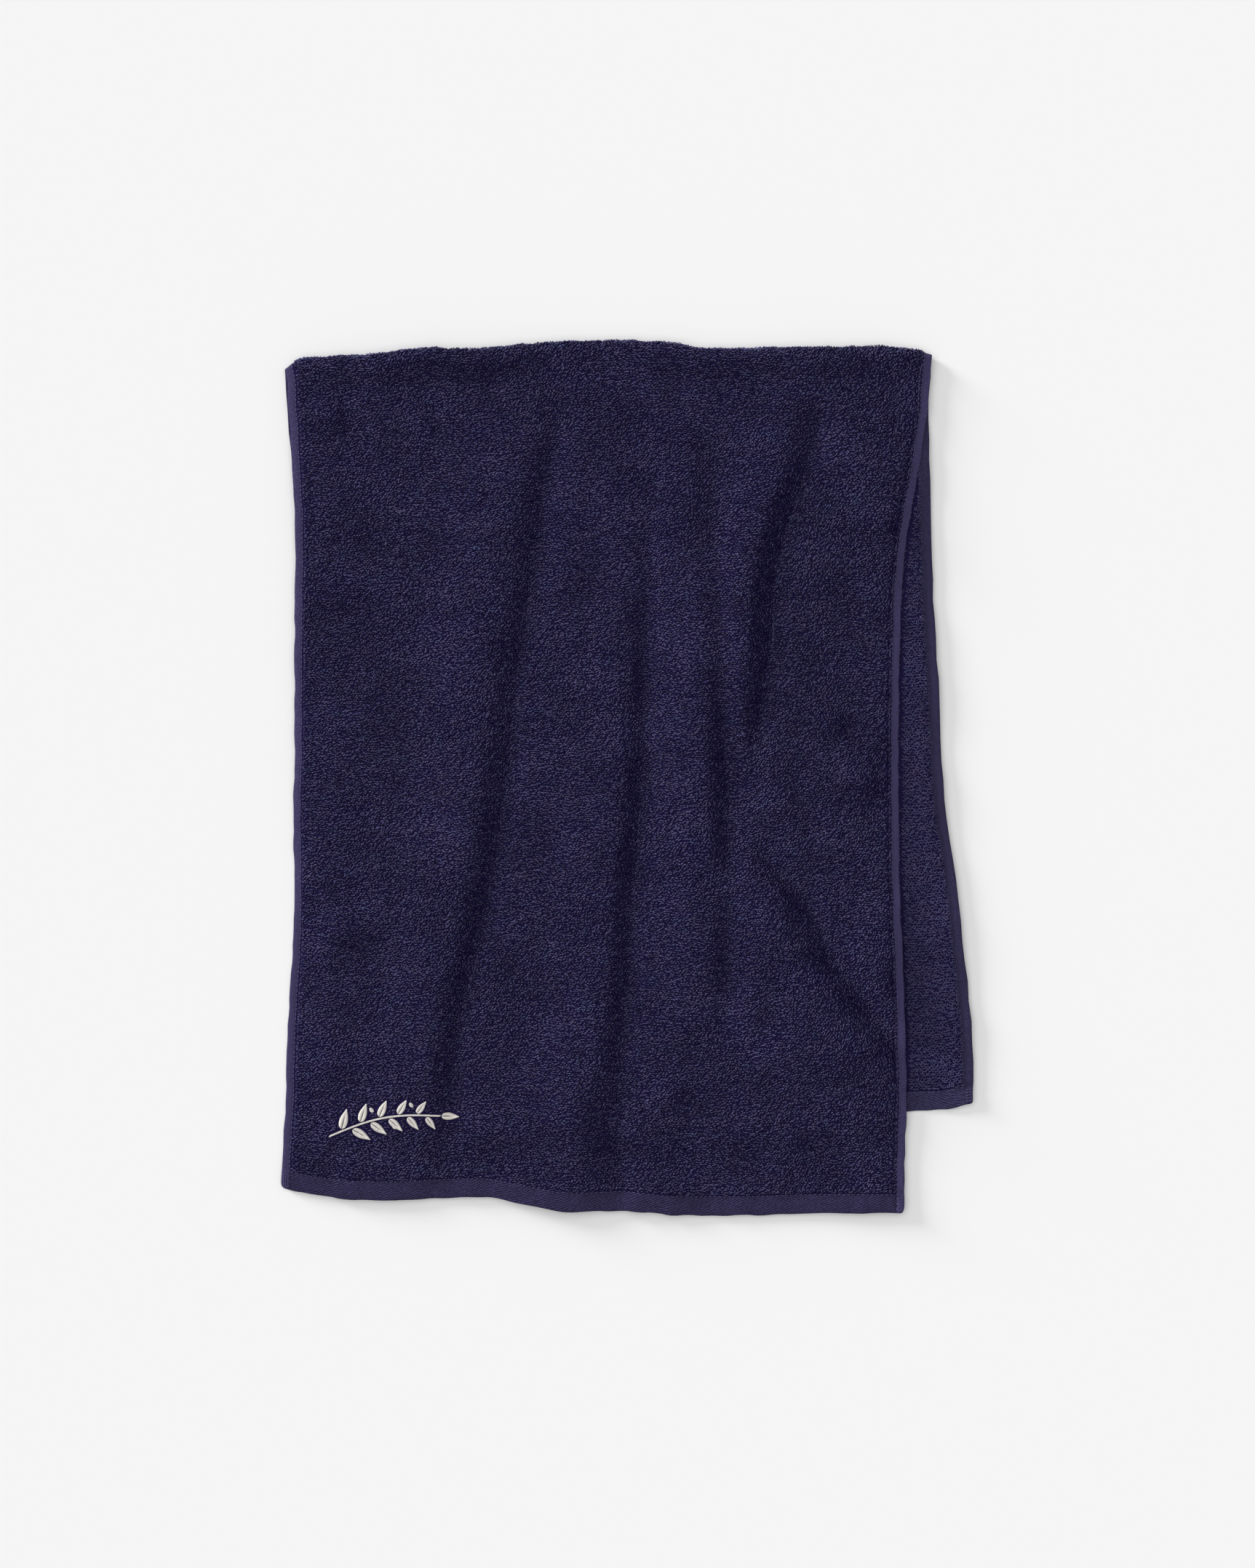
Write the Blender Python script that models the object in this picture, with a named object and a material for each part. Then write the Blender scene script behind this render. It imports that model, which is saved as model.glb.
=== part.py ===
"""A terry face towel, folded once across its length and laid flat, front layer on top.

The towel is one strip of cloth with a hem on each of its four sides. It runs from the
back layer's end hem up to the fold, over the fold, and down the front layer, which
reaches further down and lies a little askew of the back layer. +X is to the right, +Y
runs up to the fold and +Z is away from the surface that the towel lies on.
Sizes are in millimetres until the mesh is made.
"""
from collections import namedtuple

import bmesh
import bpy
import numpy as np

NODE = "face_towel"
METRE = 0.001

# The cloth
PILE_THICKNESS = 3.0
HEM_THICKNESS = 2.0
SEAM_THICKNESS = 1.4
SIDE_HEM = 5.5
END_HEM = 10.4
SEAM_WIDTH = 0.9
PILE_EDGE = 1.4
LAYER_GAP = 0.6

# The front layer sinks to the surface where it passes the back layer's edges
CLEAR_OF_EDGE = 3.0
SINK_LENGTH = 22.0

# The roll at the fold stands higher than the two layers, and settles over this length
ROLL_SETTLE = 24.0
ROLL_STEPS = 9

# How finely the strip is divided
WIDTH_ACROSS = 330.0
FRONT_LENGTH = 450.0
BACK_LENGTH = 396.0
BODY_COLUMNS = 38
FRONT_ROWS = 30
BACK_ROWS = 16

# Across the towel at a height y: where the two layers' side edges are
Section = namedtuple("Section", "y front_left front_right back_left back_right")
SECTIONS = (
    Section(224, -181.0, 160.4, -181.0, 160.4),
    Section(196, -178.0, 158.3, -179.2, 158.9),
    Section(165, -176.1, 153.8, -176.6, 159.2),
    Section(134, -174.6, 148.2, -173.8, 160.2),
    Section(104, -174.6, 144.9, -171.2, 160.9),
    Section(73, -175.0, 143.6, -168.4, 162.5),
    Section(42, -175.0, 143.0, -165.6, 164.4),
    Section(12, -175.0, 142.8, -162.4, 165.4),
    Section(-20, -175.8, 143.1, -158.3, 168.1),
    Section(-50, -175.4, 143.3, -155.0, 172.7),
    Section(-81, -175.8, 144.2, -151.3, 176.1),
    Section(-111, -177.7, 145.4, -148.6, 179.6),
    Section(-142, -179.2, 146.4, -146.4, 182.0),
    Section(-172, -180.0, 147.0, -144.2, 182.3),
    Section(-204, -181.9, 146.0, -142.0, 182.3),
    Section(-230, -182.6, 145.6, -141.0, 182.3),
)

# Along the fold: its outer line, and how far the roll stands above the flat layers
Fold = namedtuple("Fold", "x y lift")
FOLD = (
    Fold(-181, 216.0, 0.0),
    Fold(-174, 220.2, 0.6),
    Fold(-160, 221.7, 2.4),
    Fold(-136, 222.9, 3.8),
    Fold(-109, 226.2, 4.6),
    Fold(-81, 225.8, 4.8),
    Fold(-54, 228.4, 3.8),
    Fold(-17, 230.2, 3.2),
    Fold(6, 230.2, 3.0),
    Fold(20, 229.4, 3.4),
    Fold(38, 226.6, 4.4),
    Fold(75, 226.5, 4.2),
    Fold(112, 227.0, 4.0),
    Fold(141, 226.9, 3.0),
    Fold(153, 225.3, 0.8),
    Fold(161, 223.2, 0.0),
)

# Along the front layer's end hem, and along the back layer's
Hem = namedtuple("Hem", "x y")
FRONT_END = (
    Hem(-183, -215.4),
    Hem(-173, -218.0),
    Hem(-146, -221.8),
    Hem(-127, -222.5),
    Hem(-100, -221.4),
    Hem(-72, -221.0),
    Hem(-54, -224.4),
    Hem(-35, -227.9),
    Hem(2, -228.0),
    Hem(20, -229.8),
    Hem(52, -230.5),
    Hem(103, -229.2),
    Hem(146, -229.2),
)
BACK_END = (
    Hem(-144, -175.3),
    Hem(0, -176.8),
    Hem(146, -175.7),
    Hem(167, -174.6),
    Hem(182, -171.4),
)

# Soft folds that run down the front layer. Each rises slowly on its left and falls
# steeply on its right. x is the middle of the steep side, and fall is its width.
Crest = namedtuple("Crest", "y x height fall")
Ridge = namedtuple("Ridge", "rise crests")
RIDGES = (
    Ridge(42, (
        Crest(206, -37.0, 0.0, 18),
        Crest(184, -41.5, 2.8, 17),
        Crest(157, -46.8, 4.6, 16),
        Crest(104, -54.5, 5.2, 16),
        Crest(58, -62.2, 5.6, 17),
        Crest(4, -67.9, 5.8, 18),
        Crest(-73, -79.4, 5.8, 18),
        Crest(-142, -94.8, 5.0, 18),
        Crest(-173, -97.0, 4.0, 20),
        Crest(-200, -100.0, 2.0, 24),
        Crest(-226, -102.0, 1.2, 28),
    )),
    Ridge(36, (
        Crest(186, 11.5, 0.0, 16),
        Crest(142, 8.8, 2.4, 15),
        Crest(88, 6.9, 3.4, 15),
        Crest(4, 3.8, 4.6, 16),
        Crest(-88, -2.7, 5.2, 17),
        Crest(-150, -8.0, 5.2, 19),
        Crest(-190, -12.0, 5.0, 24),
        Crest(-232, -16.0, 4.8, 34),
    )),
    Ridge(30, (
        Crest(172, 40.5, 0.0, 18),
        Crest(152, 41.4, 1.6, 18),
        Crest(100, 43.4, 2.8, 18),
        Crest(58, 45.3, 3.0, 19),
        Crest(-42, 49.9, 2.9, 20),
        Crest(-96, 49.1, 2.4, 20),
        Crest(-127, 45.3, 1.2, 20),
        Crest(-150, 43.0, 0.0, 20),
    )),
    Ridge(34, (
        Crest(208, 101.0, 0.0, 18),
        Crest(192, 97.0, 2.8, 17),
        Crest(165, 91.3, 4.4, 16),
        Crest(138, 81.7, 5.2, 17),
        Crest(107, 73.6, 5.4, 17),
        Crest(73, 71.0, 5.0, 16),
        Crest(42, 68.3, 4.2, 16),
        Crest(23, 65.2, 2.6, 16),
        Crest(2, 63.0, 0.0, 16),
    )),
    Ridge(34, (
        Crest(-26, 62.0, 0.0, 20),
        Crest(-46, 76.0, 2.2, 20),
        Crest(-65, 91.3, 3.8, 21),
        Crest(-96, 106.7, 4.6, 23),
        Crest(-123, 125.9, 4.2, 24),
        Crest(-142, 138.0, 3.4, 24),
        Crest(-168, 150.0, 0.0, 24),
    )),
)

# Low rounded swells: where each one is, how high, and how far it reaches each way
Swell = namedtuple("Swell", "x y height reach_x reach_y")
FRONT_SWELLS = (
    Swell(-138, 20, 2.4, 46, 30),
    Swell(-143, -66, 2.2, 42, 28),
    Swell(-146, 150, 1.8, 40, 40),
    Swell(126, 150, 2.6, 34, 60),
    Swell(112, 20, 1.8, 34, 34),
    Swell(138, -84, 2.4, 26, 34),
    Swell(84, -176, 1.8, 42, 34),
    Swell(24, -216, 1.6, 24, 28),
    Swell(-62, -212, 1.2, 26, 24),
    Swell(122, -214, 1.4, 30, 26),
)
BACK_SWELLS = (
    Swell(186, -34, 1.8, 24, 24),
    Swell(190, -112, 2.2, 26, 28),
)


def column(rows, name):
    return np.array([getattr(row, name) for row in rows], dtype=float)


def read(rows, key, name, at):
    """One column of a table as a smooth curve through its rows, read at key = at."""
    keys = column(rows, key)
    values = column(rows, name)
    order = np.argsort(keys)
    keys = keys[order]
    values = values[order]
    slopes = np.gradient(values, keys)
    low = np.clip(np.searchsorted(keys, at) - 1, 0, len(keys) - 2)
    span = keys[low + 1] - keys[low]
    t = np.clip((at - keys[low]) / span, 0.0, 1.0)
    start = (1 + 2 * t) * (1 - t) ** 2 * values[low]
    leave = t * (1 - t) ** 2 * span * slopes[low]
    end = t * t * (3 - 2 * t) * values[low + 1]
    arrive = t * t * (t - 1) * span * slopes[low + 1]
    return start + leave + end + arrive


def ease(start, end, at):
    """0 before start, 1 past end, and smooth between them."""
    t = np.clip((at - start) / (end - start), 0.0, 1.0)
    return t * t * (3 - 2 * t)


def hump(distance):
    """1 at distance 0, falling smoothly to 0 at distance 1."""
    return 0.5 + 0.5 * np.cos(np.pi * np.clip(distance, 0.0, 1.0))


def ridge_height(x, y):
    total = np.zeros_like(x)
    for ridge in RIDGES:
        steep = read(ridge.crests, "y", "x", y)
        height = np.maximum(read(ridge.crests, "y", "height", y), 0.0)
        fall = read(ridge.crests, "y", "fall", y)
        offset = x - (steep - fall / 2)
        across = np.where(offset < 0, -offset / ridge.rise, offset / fall)
        total = total + height * hump(across)
    return total


def swell_height(swells, x, y):
    total = np.zeros_like(x)
    for swell in swells:
        away = np.hypot((x - swell.x) / swell.reach_x, (y - swell.y) / swell.reach_y)
        total = total + swell.height * hump(away)
    return total


def over_back(x, y):
    """1 where the front layer lies on the back layer, 0 where it lies on the surface."""
    past_side = read(SECTIONS, "y", "back_left", y) - x
    past_end = read(BACK_END, "x", "y", x) - y
    past = np.maximum(past_side, past_end)
    return 1 - ease(CLEAR_OF_EDGE, CLEAR_OF_EDGE + SINK_LENGTH, past)


def front_height(x, y, below_fold):
    """The middle of the front layer's cloth, above the surface."""
    height = PILE_THICKNESS / 2
    height = height + (PILE_THICKNESS + LAYER_GAP) * over_back(x, y)
    height = height + ridge_height(x, y) + swell_height(FRONT_SWELLS, x, y)
    roll = read(FOLD, "x", "lift", x)
    return height + roll * (1 - ease(0.0, ROLL_SETTLE, below_fold))


def back_height(x, y):
    return PILE_THICKNESS / 2 + swell_height(BACK_SWELLS, x, y)


def hem_steps(hem, length):
    """Shares of a length at which a hem, its seam and the edge of the pile are set out."""
    return np.array([0.0, hem - SEAM_WIDTH, hem, hem + PILE_EDGE]) / length


def column_shares():
    side = hem_steps(SIDE_HEM, WIDTH_ACROSS)
    body = np.linspace(side[-1], 1 - side[-1], BODY_COLUMNS + 1)
    return np.concatenate((side[:-1], body, 1 - side[:-1][::-1]))


def row_shares(rows, length):
    """From the fold, 0, down to the end hem, 1."""
    end = 1 - hem_steps(END_HEM, length)[::-1]
    return np.concatenate((np.linspace(0.0, end[0], rows + 1)[:-1], end))


def cloth_thickness(from_side, from_end):
    """Thin along the seams, middling at the hems and full where there is pile."""
    side = hem_profile(from_side, SIDE_HEM)
    end = hem_profile(from_end, END_HEM)
    return np.minimum(side, end)


def hem_profile(inward, hem):
    seam = hem - SEAM_WIDTH / 2
    marks = (0.0, seam - SEAM_WIDTH / 2, seam + SEAM_WIDTH / 2, hem + PILE_EDGE)
    sizes = (HEM_THICKNESS, HEM_THICKNESS, SEAM_THICKNESS, PILE_THICKNESS)
    return np.interp(inward, marks, sizes)


def hem_sink(from_side, from_end):
    """The thinner hems lie lower, so that they touch what the pile beside them touches."""
    in_side = 1 - ease(SIDE_HEM, SIDE_HEM + PILE_EDGE, from_side)
    in_end = 1 - ease(END_HEM, END_HEM + PILE_EDGE, from_end)
    return (PILE_THICKNESS - HEM_THICKNESS) / 2 * np.maximum(in_side, in_end)


def across(side_columns, share, y):
    left = read(SECTIONS, "y", side_columns[0], y)
    right = read(SECTIONS, "y", side_columns[1], y)
    return left + (right - left) * share


def layer(side_columns, ends, shares_across, shares_down, fold_y, length):
    """Grid of x, y and distances to the hems, from the fold down to one end hem."""
    share = shares_across[None, :]
    down = shares_down[:, None]
    end_x = across(side_columns, share, np.full_like(share, ends[0].y))
    end_y = read(ends, "x", "y", end_x)
    y = fold_y + (end_y - fold_y) * down
    x = across(side_columns, np.broadcast_to(share, y.shape), y)
    from_side = np.minimum(share, 1 - share) * WIDTH_ACROSS + 0 * y
    from_end = (1 - down) * length + 0 * y
    return x, y, from_side, from_end


def towel_middle():
    """Grid of the cloth's middle, from the back's end hem over the fold to the front's."""
    shares = column_shares()
    front = ("front_left", "front_right")
    back = ("back_left", "back_right")
    top_x = across(front, shares, np.full_like(shares, SECTIONS[0].y))
    top_y = read(FOLD, "x", "y", top_x)
    side = np.minimum(shares, 1 - shares) * WIDTH_ACROSS
    far = np.full_like(side, FRONT_LENGTH)
    thick = cloth_thickness(side, far)
    sink = hem_sink(side, far)

    # The roll's diameter is set by the heights of the two layers where they meet it
    high = front_height(top_x, top_y, np.zeros_like(top_x)) - sink
    low = back_height(top_x, top_y) - sink
    radius = (high - low) / 2
    start_y = top_y - radius - thick / 2

    front_down = row_shares(FRONT_ROWS, FRONT_LENGTH)
    fx, fy, f_side, f_end = layer(front, FRONT_END, shares, front_down, start_y, FRONT_LENGTH)
    fz = front_height(fx, fy, start_y[None, :] - fy) - hem_sink(f_side, f_end)
    fz[0] = high

    back_down = row_shares(BACK_ROWS, BACK_LENGTH)
    bx, by, b_side, b_end = layer(back, BACK_END, shares, back_down, start_y, BACK_LENGTH)
    bz = back_height(bx, by) - hem_sink(b_side, b_end)

    turn = np.linspace(-np.pi / 2, np.pi / 2, ROLL_STEPS + 1)[1:-1, None]
    part_front = (1 + np.sin(turn)) / 2
    rx = bx[0] + (fx[0] - bx[0]) * part_front
    ry = start_y + radius * np.cos(turn)
    rz = low + (high - low) * part_front

    x = np.vstack((bx[::-1], rx, fx))
    y = np.vstack((by[::-1], ry, fy))
    z = np.vstack((bz[::-1], rz, fz))
    roll_side = np.broadcast_to(side, rx.shape)
    roll_end = np.broadcast_to(far, rx.shape)
    from_side = np.vstack((b_side[::-1], roll_side, f_side))
    from_end = np.vstack((b_end[::-1], roll_end, f_end))
    return np.stack((x, y, z), axis=-1), cloth_thickness(from_side, from_end)


def grid_normals(points):
    down = np.gradient(points, axis=0)
    right = np.gradient(points, axis=1)
    normals = np.cross(down, right)
    return normals / np.linalg.norm(normals, axis=-1, keepdims=True)


def towel_faces(rows, columns):
    """Both faces of the strip, and the rim that joins them."""
    number = np.arange(rows * columns).reshape(rows, columns)
    outer = number
    inner = number + rows * columns
    faces = []
    for r in range(rows - 1):
        for c in range(columns - 1):
            corners = ((r, c), (r + 1, c), (r + 1, c + 1), (r, c + 1))
            faces.append([outer[at] for at in corners])
            faces.append([inner[at] for at in reversed(corners)])
    edge = [(0, c) for c in range(columns)]
    edge += [(r, columns - 1) for r in range(1, rows)]
    edge += [(rows - 1, c) for c in range(columns - 2, -1, -1)]
    edge += [(r, 0) for r in range(rows - 2, 0, -1)]
    for here, there in zip(edge, edge[1:] + edge[:1]):
        faces.append([outer[here], outer[there], inner[there], inner[here]])
    return faces


def towel_points():
    middle, thickness = towel_middle()
    out = grid_normals(middle) * (thickness / 2)[..., None]
    outer = middle + out
    inner = middle - out
    rows, columns = thickness.shape
    points = np.concatenate((outer.reshape(-1, 3), inner.reshape(-1, 3)))

    # The back layer's own face is the flat one that the towel rests on
    points[:, 2] = np.maximum(points[:, 2], 0.0)
    points[:, :2] -= (points[:, :2].max(axis=0) + points[:, :2].min(axis=0)) / 2
    return points * METRE, towel_faces(rows, columns)


def terry_material():
    material = bpy.data.materials.new("terry_cloth")
    material.use_nodes = True
    shader = material.node_tree.nodes["Principled BSDF"]
    shader.inputs["Base Color"].default_value = (0.024, 0.018, 0.055, 1)
    shader.inputs["Roughness"].default_value = 0.95
    shader.inputs["Metallic"].default_value = 0.0
    return material


def make_towel():
    points, faces = towel_points()
    model = bmesh.new()
    verts = [model.verts.new(point) for point in points]
    for face in faces:
        model.faces.new([verts[index] for index in face])
    bmesh.ops.recalc_face_normals(model, faces=model.faces)
    mesh = bpy.data.meshes.new(NODE)
    model.to_mesh(mesh)
    model.free()
    mesh.shade_smooth()
    mesh.materials.append(terry_material())
    towel = bpy.data.objects.new(NODE, mesh)
    bpy.context.scene.collection.objects.link(towel)
    return towel


for old in list(bpy.data.objects):
    bpy.data.objects.remove(old, do_unlink=True)
make_towel()
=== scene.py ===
"""How a navy terry face towel looks: loop pile, twill hems, stitches and a small embroidery.

The towel is folded once across its length and lies flat. +X is to the right, +Y runs up
to the fold and +Z is up. Sizes are in millimetres until a mesh is made, unless a name
says otherwise.
"""
from collections import namedtuple

import bpy
import numpy as np
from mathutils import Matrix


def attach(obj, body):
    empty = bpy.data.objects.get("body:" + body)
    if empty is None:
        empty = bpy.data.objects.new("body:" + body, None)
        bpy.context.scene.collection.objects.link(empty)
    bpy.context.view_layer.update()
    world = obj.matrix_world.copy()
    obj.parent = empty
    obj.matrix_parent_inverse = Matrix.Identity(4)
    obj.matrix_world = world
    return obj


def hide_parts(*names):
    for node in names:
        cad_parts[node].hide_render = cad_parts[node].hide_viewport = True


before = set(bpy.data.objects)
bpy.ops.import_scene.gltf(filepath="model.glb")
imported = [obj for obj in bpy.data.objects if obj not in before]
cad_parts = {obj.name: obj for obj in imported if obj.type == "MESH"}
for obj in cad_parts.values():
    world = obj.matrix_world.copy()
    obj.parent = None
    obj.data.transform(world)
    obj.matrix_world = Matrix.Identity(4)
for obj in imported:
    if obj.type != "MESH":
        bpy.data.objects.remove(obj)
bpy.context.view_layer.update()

METRE = 0.001
BODY = "root"
NODE = "face_towel"

# The cloth, with its flat size in metres
CLOTH_WIDTH = 340.0
PILE_THICKNESS = 3.0
HEM_THICKNESS = 1.7
SEAM_THICKNESS = 1.0
GROUND_THICKNESS = 1.7
SIDE_HEM = 5.5
END_HEM = 10.4
SEAM_WIDTH = 0.9
PILE_EDGE = 1.4
LAYER_GAP = 0.6
EDGE_ROUND = 1.3
CORNER_ROUND = 2.0

# The hems are turned to the cloth's inner side. There the side hem is wider than on the
# outer side, and its turned edge is a small lip past the seam.
OUTER_SIDE_HEM = 4.4
INNER_SIDE_HEM = 5.9
LIP_HEIGHT = 0.60
LIP_REACH = 0.65
PUCKER = 0.25
PUCKER_REACH = 16.0

# A hem's middle is thicker by this share, and an edge keeps this share of the thickness
CROWN = 0.12
EDGE_LEAST = 0.25

# The front layer sinks to the surface where it passes the back layer's edges
CLEAR_OF_EDGE = 3.0
SINK_LENGTH = 22.0

# The roll at the fold stands higher than the two layers, and settles over this length.
# The front layer's first rows meet it over a shorter one.
ROLL_SETTLE = 12.0
ROLL_JOIN = 10.0
ROLL_STEPS = 15

# How finely the strip is divided, with closer marks at its edges
WIDTH_ACROSS = 330.0
FRONT_LENGTH = 450.0
BACK_LENGTH = 396.0
BODY_COLUMNS = 180
FRONT_ROWS = 90
BACK_ROWS = 36
SIDE_MARKS = (0.0, 0.15, 0.5, 1.0, 2.0, 3.0, 3.5, 3.95, 4.4, 5.0, 5.45, 5.9, 6.3, 6.9)
END_MARKS = (0.0, 0.15, 0.5, 1.0, 2.6, 4.4, 6.2, 8.0, 9.2, 9.5, 9.95, 10.4, 11.0, 11.8)

# Across the towel at a height y: where the two layers' side edges are
Section = namedtuple("Section", "y front_left front_right back_left back_right")
SECTIONS = (
    Section(224, -181.4, 160.6, -181.4, 160.6),
    Section(208, -178.7, 159.2, -180.0, 159.6),
    Section(196, -178.0, 158.3, -179.2, 158.9),
    Section(165, -176.1, 153.8, -176.6, 159.2),
    Section(134, -174.6, 148.2, -173.8, 160.2),
    Section(104, -174.6, 144.9, -171.2, 160.9),
    Section(73, -175.0, 143.6, -168.4, 162.5),
    Section(42, -175.0, 143.0, -165.6, 164.4),
    Section(12, -175.0, 142.8, -162.4, 165.4),
    Section(-20, -175.8, 143.1, -158.3, 168.1),
    Section(-50, -175.4, 143.3, -155.0, 172.7),
    Section(-81, -175.8, 144.2, -151.3, 176.1),
    Section(-111, -177.7, 145.4, -148.6, 179.6),
    Section(-142, -179.2, 146.4, -146.4, 182.0),
    Section(-172, -180.0, 147.0, -144.2, 182.3),
    Section(-204, -181.9, 146.0, -142.0, 182.3),
    Section(-230, -182.6, 145.6, -141.0, 182.3),
)

# Along the fold: its outer line, and how far the roll stands above the flat layers
Fold = namedtuple("Fold", "x y lift")
FOLD = (
    Fold(-181, 216.0, 0.0),
    Fold(-174, 220.2, 0.6),
    Fold(-160, 221.7, 2.4),
    Fold(-136, 222.9, 3.8),
    Fold(-109, 226.2, 4.6),
    Fold(-81, 225.8, 4.8),
    Fold(-54, 228.4, 3.2),
    Fold(-17, 230.2, 2.4),
    Fold(6, 230.2, 2.2),
    Fold(20, 229.4, 2.6),
    Fold(38, 226.6, 3.2),
    Fold(75, 226.5, 3.2),
    Fold(112, 227.0, 3.8),
    Fold(141, 226.9, 3.0),
    Fold(153, 225.3, 0.8),
    Fold(161, 223.2, 0.0),
)

# Along the front layer's end hem, and along the back layer's
Hem = namedtuple("Hem", "x y")
FRONT_END = (
    Hem(-183, -215.4),
    Hem(-173, -218.0),
    Hem(-146, -221.8),
    Hem(-127, -222.5),
    Hem(-100, -221.4),
    Hem(-72, -221.0),
    Hem(-54, -224.4),
    Hem(-35, -227.9),
    Hem(2, -228.0),
    Hem(20, -229.8),
    Hem(52, -230.5),
    Hem(103, -229.2),
    Hem(146, -229.2),
)
BACK_END = (
    Hem(-144, -175.3),
    Hem(0, -176.8),
    Hem(146, -175.7),
    Hem(167, -174.6),
    Hem(182, -171.4),
)

# Soft folds that run down the front layer. Each rises slowly on its left, over its rise,
# and falls steeply on its right, over its fall. x is the lower part of the steep side.
Crest = namedtuple("Crest", "y x height fall")
Ridge = namedtuple("Ridge", "rise crests")
RIDGES = (
    Ridge(42, (
        Crest(206, -37.0, 0.0, 20),
        Crest(184, -41.5, 3.0, 20),
        Crest(157, -46.8, 4.6, 21),
        Crest(104, -54.5, 4.9, 21),
        Crest(58, -62.2, 5.1, 21),
        Crest(4, -67.9, 5.3, 21),
        Crest(-73, -79.4, 5.1, 21),
        Crest(-142, -94.8, 4.7, 21),
        Crest(-173, -97.0, 3.2, 20),
        Crest(-200, -100.0, 1.7, 24),
        Crest(-226, -102.0, 0.8, 28),
    )),
    Ridge(36, (
        Crest(186, 11.5, 0.0, 16),
        Crest(142, 8.8, 2.2, 16),
        Crest(88, 6.9, 3.3, 16),
        Crest(4, 3.8, 4.6, 17),
        Crest(-88, -2.7, 5.1, 18),
        Crest(-150, -8.0, 4.7, 22),
        Crest(-190, -12.0, 3.9, 30),
        Crest(-232, -16.0, 3.1, 42),
    )),
    Ridge(30, (
        Crest(186, 40.0, 0.0, 18),
        Crest(152, 41.4, 2.7, 18),
        Crest(100, 43.4, 4.3, 18),
        Crest(58, 45.3, 4.9, 17),
        Crest(-42, 49.9, 4.7, 17),
        Crest(-96, 49.1, 3.4, 17),
        Crest(-127, 45.3, 1.8, 19),
        Crest(-150, 43.0, 0.0, 20),
    )),
    Ridge(34, (
        Crest(208, 101.0, 0.0, 18),
        Crest(192, 97.0, 2.8, 18),
        Crest(165, 91.3, 5.0, 19),
        Crest(138, 81.7, 6.1, 19),
        Crest(107, 73.6, 6.2, 19),
        Crest(73, 71.0, 5.6, 19),
        Crest(42, 68.3, 4.5, 18),
        Crest(23, 65.2, 2.8, 16),
        Crest(2, 63.0, 0.0, 16),
    )),
    Ridge(34, (
        Crest(-26, 58.0, 0.0, 22),
        Crest(-46, 72.0, 3.8, 22),
        Crest(-65, 87.0, 6.2, 24),
        Crest(-96, 102.5, 6.9, 26),
        Crest(-123, 122.0, 6.9, 26),
        Crest(-142, 135.0, 5.2, 27),
        Crest(-168, 150.0, 0.0, 25),
    )),
    Ridge(20, (
        Crest(218, -18.0, 0.0, 17),
        Crest(180, -20.0, 0.8, 17),
        Crest(105, -22.5, 0.9, 17),
        Crest(40, -21.5, 0.8, 17),
        Crest(-25, -18.7, 0.6, 16),
        Crest(-70, -18.0, 0.0, 16),
    )),
    Ridge(14, (
        Crest(14, 81.0, 0.0, 13),
        Crest(-4, 87.0, 1.4, 13),
        Crest(-30, 94.5, 1.4, 13),
        Crest(-48, 100.0, 0.0, 13),
    )),
)

# Low rounded swells: where each one is, how high, how far it reaches each way, and how
# far it is turned, in degrees
Swell = namedtuple("Swell", "x y height reach_x reach_y turn", defaults=(0,))
FRONT_SWELLS = (
    Swell(-138, 20, 2.4, 46, 30),
    Swell(-143, -66, 2.2, 42, 28),
    Swell(-146, 150, 1.8, 40, 40),
    Swell(126, 150, 2.6, 34, 60),
    Swell(112, 20, 1.8, 34, 34),
    Swell(138, -84, 2.4, 26, 34),
    Swell(84, -176, 1.8, 42, 34),
    Swell(24, -216, 1.6, 24, 28),
    Swell(-62, -212, 1.2, 26, 24),
    Swell(122, -214, 1.4, 30, 26),
)
BACK_SWELLS = (
    Swell(176, 50, 1.2, 20, 40),
    Swell(190, -60, 1.8, 26, 40),
    Swell(196, -130, 1.8, 26, 34),
)

# What curls up a little: the back layer's right side, the front layer's end hem, and its
# right side where the back layer isn't under it
EDGE_CURL = 2.1
END_CURL = 1.3
FREE_CURL = 1.8
CURL_REACH = 24.0
END_CURL_REACH = 22.0

# Narrow swells: the short creases, which run mostly across
CREASES = (
    Swell(-146, -80, 3.3, 26, 10, -4),
    Swell(-150, 96, 2.8, 28, 11, 8),
    Swell(-138, 31, 3.0, 32, 11, 2),
    Swell(-150, -32, 1.8, 24, 10, -8),
    Swell(-152, -152, 2.4, 24, 10, 5),
    Swell(-108, 186, 2.5, 18, 10, 118),
    Swell(-156, 190, 2.5, 18, 10, 112),
    Swell(108, 30, 3.3, 15, 9, -10),
    Swell(124, -2, 3.6, 16, 9, -20),
    Swell(132, 136, 2.1, 22, 10, 6),
    Swell(20, -166, 2.4, 18, 12, 14),
    Swell(84, -146, 1.8, 26, 10, -12),
    Swell(-40, -180, 1.7, 24, 10, -5),
    Swell(66, -112, 1.5, 12, 34, -6),
)

# A ridge's steep side takes this share of its fall, and of that its crest stands this
# share before x. The foot is the sharper the nearer to 1 its shape is.
FALL_SHARE = 0.84
CREST_BEFORE = 0.67
FOOT_SHAPE = 1.3

# Past its foot the cloth rises again by this share of the ridge, then settles
REBOUND = 0.36
REBOUND_AT = 10.0
REBOUND_END = 44.0

# Fine unevenness of the front layer, and of the sewn edges
UNEVEN = 0.5
EDGE_WOBBLE = 0.35
WOBBLE_REACH = 14.0
WOBBLE_SCALE = 900

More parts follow.
